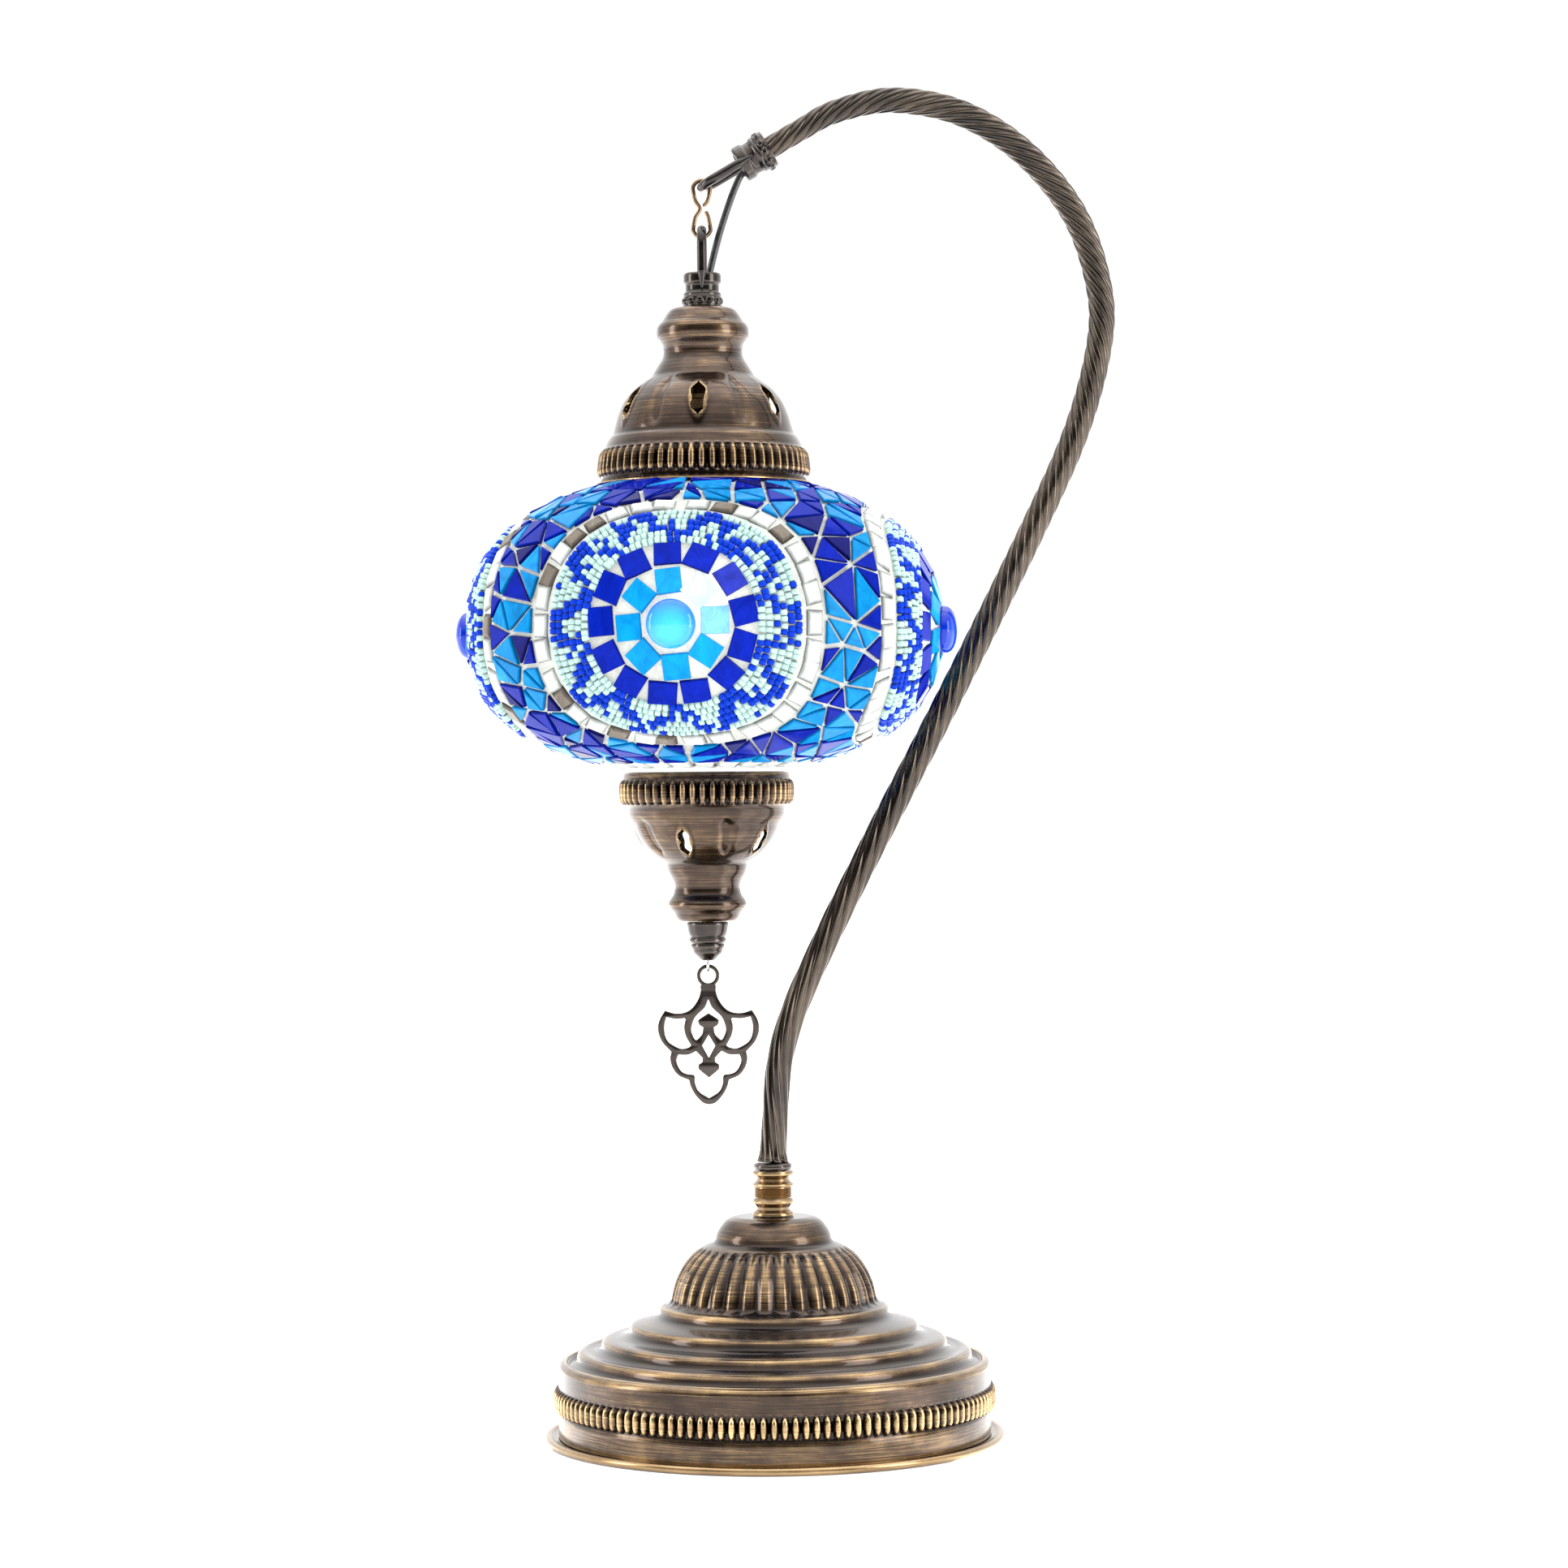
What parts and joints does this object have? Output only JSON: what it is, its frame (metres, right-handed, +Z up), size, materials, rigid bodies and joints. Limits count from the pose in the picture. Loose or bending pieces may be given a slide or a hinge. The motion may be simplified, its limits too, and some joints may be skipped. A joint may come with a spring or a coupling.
{
  "type": "table lamp",
  "caption": "Swan-neck table lamp: a mosaic glass globe between pierced brass caps hangs from a hook on a curved arm over a round stepped brass base.",
  "frame": {"origin": "centre of the base's underside", "axes": "+Z up, +X towards the bulge of the arm, -Y towards the front of the lamp"},
  "size_m": [0.2303, 0.175, 0.4702],
  "materials": {
    "antique_bronze": "lacquered antique brass, dark in the hollows and rubbed on the edges",
    "rubbed_brass": "antique brass with rubbed golden edges",
    "gunmetal_bronze": "dark bronze plating, worn on the edges",
    "bright_brass": "plain bright brass",
    "zinc_plated_steel": "zinc plated",
    "ballast_iron": "rough casting",
    "black_felt": "glued felt",
    "black_cable": "smooth black sheath",
    "black_plastic": "moulded",
    "clear_glass": "blown clear glass",
    "opal_bulb_glass": "opal glass",
    "blue_mosaic": "cut and laid coloured glass in clear cement",
    "blue_cabochon": "polished domed glass",
    "clear_silicone": "clear silicone"
  },
  "bodies": {
    "stand": {"base_felt": "black_felt", "base_tray": "rubbed_brass", "ballast_disc": "ballast_iron", "base_shell": "antique_bronze", "cord_grommet": "black_plastic", "stem_nipple": "zinc_plated_steel", "stem_washer": "zinc_plated_steel", "stem_nut": "zinc_plated_steel", "base_collar": "rubbed_brass", "arm_foot": "gunmetal_bronze", "arm_tube": "gunmetal_bronze", "arm_ferrule": "gunmetal_bronze", "cable_in_stand": "black_cable", "cable_span": "black_cable"},
    "hook": {"s_hook": "bright_brass"},
    "shade": {"cable_in_shade": "black_cable", "cap_collar": "gunmetal_bronze", "top_cap": "antique_bronze", "cap_nipple": "bright_brass", "globe_bracket": "bright_brass", "cap_nut": "bright_brass", "lampholder_cap": "black_plastic", "lampholder_shell": "black_plastic", "lampholder_insert": "black_plastic", "bulb_base": "zinc_plated_steel", "bulb_glass": "opal_bulb_glass", "mosaic_skin": "blue_mosaic", "glass_globe": "clear_glass", "boss_front": "blue_cabochon", "boss_right": "blue_cabochon", "boss_back": "blue_cabochon", "boss_left": "blue_cabochon", "bottom_cap": "antique_bronze", "bottom_bond": "clear_silicone", "finial_stud": "bright_brass", "stud_nut": "bright_brass", "finial": "gunmetal_bronze", "eye_pin": "zinc_plated_steel"},
    "pendant": {"ornament": "gunmetal_bronze"}
  },
  "joints": [
    {"name": "hook_swing", "type": "hinge", "parent": "stand", "child": "hook", "pos_m": [-0.02199, 0, 0.43581], "axis": [0, 1, 0], "range_deg": [-0.4, 18], "deforming": ["cable_span"]},
    {"name": "shade_swing", "type": "hinge", "parent": "hook", "child": "shade", "pos_m": [-0.02199, 0, 0.41866], "axis": [1, 0, 0], "range_deg": [-12, 12]},
    {"name": "pendant_swing", "type": "hinge", "parent": "shade", "child": "pendant", "pos_m": [-0.02199, 0, 0.16314], "axis": [0, 1, 0], "range_deg": [-7, 35]}
  ]
}
